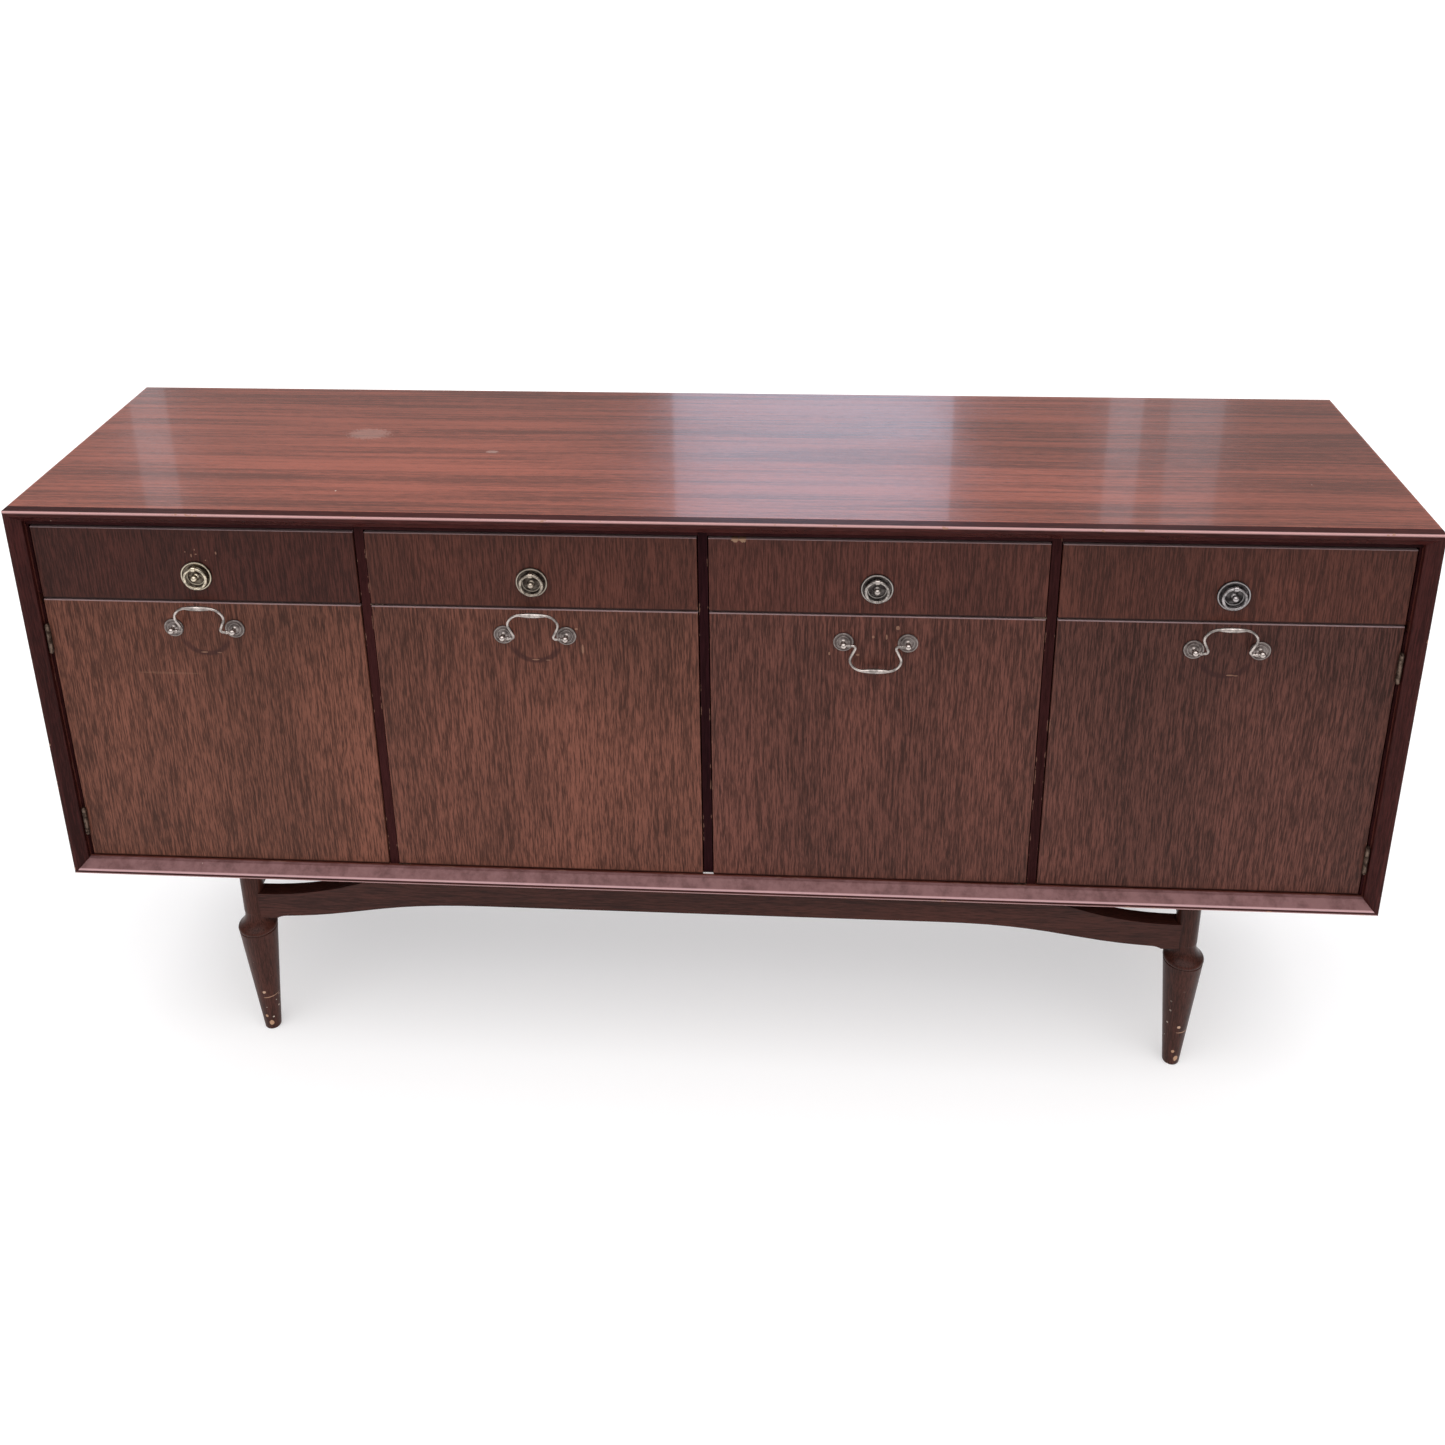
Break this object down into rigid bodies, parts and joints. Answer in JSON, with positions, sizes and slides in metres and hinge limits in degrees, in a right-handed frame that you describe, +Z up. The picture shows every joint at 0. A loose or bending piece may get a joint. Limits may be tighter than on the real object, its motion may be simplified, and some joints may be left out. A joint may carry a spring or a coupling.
{
  "type": "sideboard",
  "caption": "Long mahogany sideboard: drawers with ring pulls over doors with bail handles, in a mitred case on a low stand with turned legs.",
  "frame": {"origin": "on the floor, under the middle of the case", "axes": "+X to the right facing the front, +Y towards the back, +Z up; the doors and drawers face -Y"},
  "size_m": [1.676, 0.42, 0.814],
  "materials": {
    "top_veneer": "gloss lacquered mahogany veneer, grain along the length",
    "side_veneer": "satin lacquered mahogany veneer",
    "front_veneer": "satin lacquered mahogany veneer, upright grain",
    "lipping_wood": "polished solid mahogany, worn arrises",
    "dark_edge_wood": "dark stained hardwood edge",
    "stand_wood": "dark stained satin hardwood, chipped at the feet",
    "inner_veneer": "matt mahogany veneer",
    "drawer_wood": "bare pale hardwood and ply",
    "back_board": "matt stained ply",
    "antique_brass": "darkened antique brass",
    "hinge_brass": "dull brass",
    "steel": "dull zinc plated steel",
    "catch_plastic": "matt"
  },
  "bodies": {
    "case": {"back_panel": "back_board", "back_panel_screws": "steel", "bottom_panel": "side_veneer", "divider_rails": "dark_edge_wood", "door_catches": "catch_plastic", "drawer_runners": "drawer_wood", "front_lipping": "lipping_wood", "hinge_leaves": "hinge_brass", "hinge_pins": "hinge_brass", "hinge_strips": "dark_edge_wood", "left_side": "side_veneer", "leg_back_left": "stand_wood", "leg_back_right": "stand_wood", "leg_front_left": "stand_wood", "leg_front_right": "stand_wood", "partition_centre": "dark_edge_wood", "partition_left": "dark_edge_wood", "partition_right": "dark_edge_wood", "pivot_brackets": "hinge_brass", "right_side": "side_veneer", "shelf_pegs": "steel", "shelves": "inner_veneer", "stand_back_rail": "stand_wood", "stand_end_rails": "stand_wood", "stand_front_rail": "stand_wood", "top_panel": "top_veneer", "top_rails": "dark_edge_wood"},
    "drawer_1": {"drawer_1_front": "front_veneer", "drawer_1_box": "drawer_wood", "pull_1_plate": "antique_brass"},
    "ring_1": {"pull_1_ring": "antique_brass"},
    "door_1": {"door_1_panel": "front_veneer", "door_1_fittings": "hinge_brass", "handle_1_rosettes": "antique_brass"},
    "bail_1": {"handle_1_bail": "antique_brass"},
    "drawer_2": {"drawer_2_front": "front_veneer", "drawer_2_box": "drawer_wood", "pull_2_plate": "antique_brass"},
    "ring_2": {"pull_2_ring": "antique_brass"},
    "door_2": {"door_2_panel": "front_veneer", "door_2_fittings": "hinge_brass", "handle_2_rosettes": "antique_brass"},
    "bail_2": {"handle_2_bail": "antique_brass"},
    "drawer_3": {"drawer_3_front": "front_veneer", "drawer_3_box": "drawer_wood", "pull_3_plate": "antique_brass"},
    "ring_3": {"pull_3_ring": "antique_brass"},
    "door_3": {"door_3_panel": "front_veneer", "door_3_fittings": "hinge_brass", "handle_3_rosettes": "antique_brass"},
    "bail_3": {"handle_3_bail": "antique_brass"},
    "drawer_4": {"drawer_4_front": "front_veneer", "drawer_4_box": "drawer_wood", "pull_4_plate": "antique_brass"},
    "ring_4": {"pull_4_ring": "antique_brass"},
    "door_4": {"door_4_panel": "front_veneer", "door_4_fittings": "hinge_brass", "handle_4_rosettes": "antique_brass"},
    "bail_4": {"handle_4_bail": "antique_brass"}
  },
  "joints": [
    {"name": "drawer_1_slide", "type": "slide", "parent": "case", "child": "drawer_1", "axis": [0, -1, 0], "range_m": [0, 0.27]},
    {"name": "ring_1_swing", "type": "hinge", "parent": "drawer_1", "child": "ring_1", "pos_m": [-0.61725, -0.1988, 0.7355], "axis": [-1, 0, 0], "range_deg": [0, 95]},
    {"name": "door_1_hinge", "type": "hinge", "parent": "case", "child": "door_1", "pos_m": [-0.817, -0.1961, 0.5], "axis": [0, 0, -1], "range_deg": [0, 105]},
    {"name": "bail_1_swing", "type": "hinge", "parent": "door_1", "child": "bail_1", "pos_m": [-0.61725, -0.203, 0.6518], "axis": [1, 0, 0], "range_deg": [0, 175]},
    {"name": "drawer_2_slide", "type": "slide", "parent": "case", "child": "drawer_2", "axis": [0, -1, 0], "range_m": [0, 0.27]},
    {"name": "ring_2_swing", "type": "hinge", "parent": "drawer_2", "child": "ring_2", "pos_m": [-0.20575, -0.1988, 0.7355], "axis": [-1, 0, 0], "range_deg": [0, 95]},
    {"name": "door_2_hinge", "type": "hinge", "parent": "case", "child": "door_2", "pos_m": [-0.397, -0.189, 0.5], "axis": [0, 0, -1], "range_deg": [0, 95]},
    {"name": "bail_2_swing", "type": "hinge", "parent": "door_2", "child": "bail_2", "pos_m": [-0.20575, -0.203, 0.6518], "axis": [1, 0, 0], "range_deg": [0, 175]},
    {"name": "drawer_3_slide", "type": "slide", "parent": "case", "child": "drawer_3", "axis": [0, -1, 0], "range_m": [0, 0.27]},
    {"name": "ring_3_swing", "type": "hinge", "parent": "drawer_3", "child": "ring_3", "pos_m": [0.20575, -0.1988, 0.7355], "axis": [-1, 0, 0], "range_deg": [0, 95]},
    {"name": "door_3_hinge", "type": "hinge", "parent": "case", "child": "door_3", "pos_m": [0.397, -0.189, 0.5], "axis": [0, 0, 1], "range_deg": [0, 95]},
    {"name": "bail_3_swing", "type": "hinge", "parent": "door_3", "child": "bail_3", "pos_m": [0.20575, -0.203, 0.6518], "axis": [-1, 0, 0], "range_deg": [0, 175]},
    {"name": "drawer_4_slide", "type": "slide", "parent": "case", "child": "drawer_4", "axis": [0, -1, 0], "range_m": [0, 0.27]},
    {"name": "ring_4_swing", "type": "hinge", "parent": "drawer_4", "child": "ring_4", "pos_m": [0.61725, -0.1988, 0.7355], "axis": [-1, 0, 0], "range_deg": [0, 95]},
    {"name": "door_4_hinge", "type": "hinge", "parent": "case", "child": "door_4", "pos_m": [0.817, -0.1961, 0.5], "axis": [0, 0, 1], "range_deg": [0, 105]},
    {"name": "bail_4_swing", "type": "hinge", "parent": "door_4", "child": "bail_4", "pos_m": [0.61725, -0.203, 0.6518], "axis": [1, 0, 0], "range_deg": [0, 175]}
  ]
}
